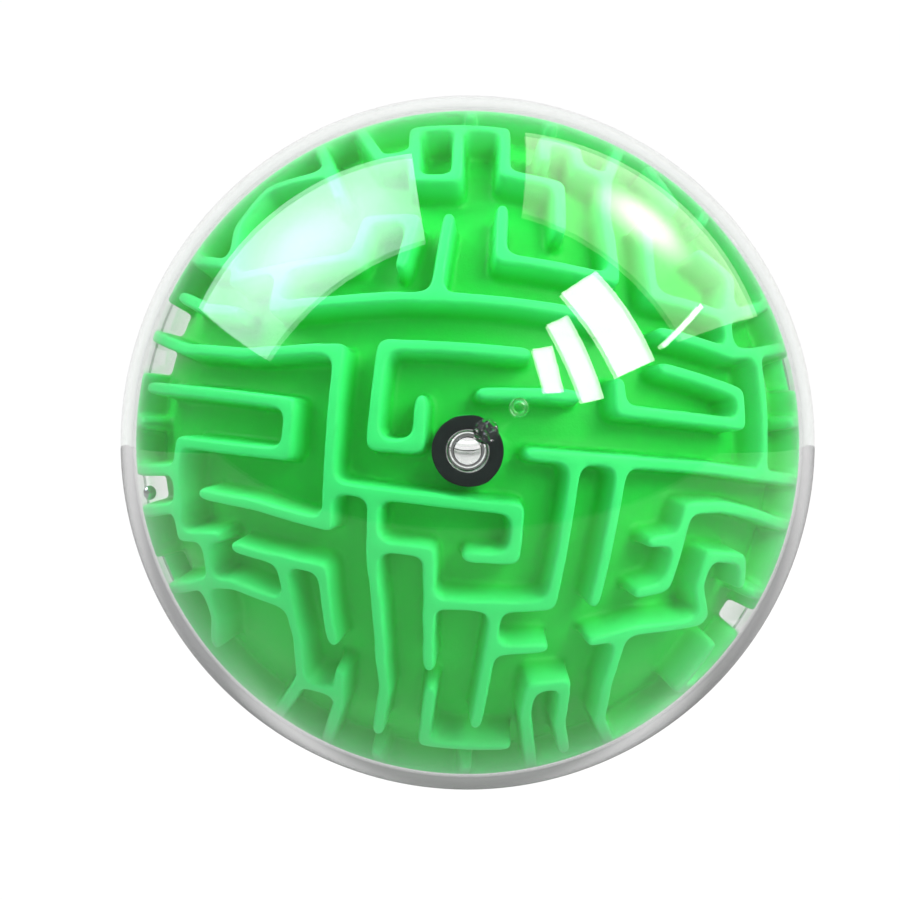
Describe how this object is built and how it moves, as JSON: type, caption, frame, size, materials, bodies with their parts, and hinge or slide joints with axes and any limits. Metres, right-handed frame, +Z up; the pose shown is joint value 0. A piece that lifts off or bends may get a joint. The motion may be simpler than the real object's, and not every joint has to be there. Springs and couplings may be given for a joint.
{
  "type": "3d maze ball puzzle",
  "caption": "Clear round casing over a hollow green maze core; a small steel ball is tilted through the walled channels between them.",
  "frame": {"origin": "centre of the ball", "axes": "+Z up as the ball is displayed; Y is the polar axis that both washers, bosses and core hubs are on, and the front pole is at -Y; +X to the right seen from the front; the seam between the halves is in the XZ plane"},
  "size_m": [0.12, 0.12, 0.12],
  "materials": {
    "clear_casing": "clear moulded polystyrene, polished",
    "green_maze": "green moulded plastic, satin",
    "black_rubber": "black rubber, flat",
    "polished_steel": "polished steel bearing ball"
  },
  "bodies": {
    "casing": {"front_shell": "clear_casing", "rear_shell": "clear_casing", "front_maze_core": "green_maze", "rear_maze_core": "green_maze", "front_washer": "black_rubber", "rear_washer": "black_rubber"},
    "rolling_ball": {"steel_ball": "polished_steel"}
  },
  "joints": [
    {"name": "ball_along_channel", "type": "hinge", "parent": "casing", "child": "rolling_ball", "pos_m": [0, 0, 0], "axis": [0.153, 0, -0.9882], "range_deg": [-27, 39]}
  ]
}
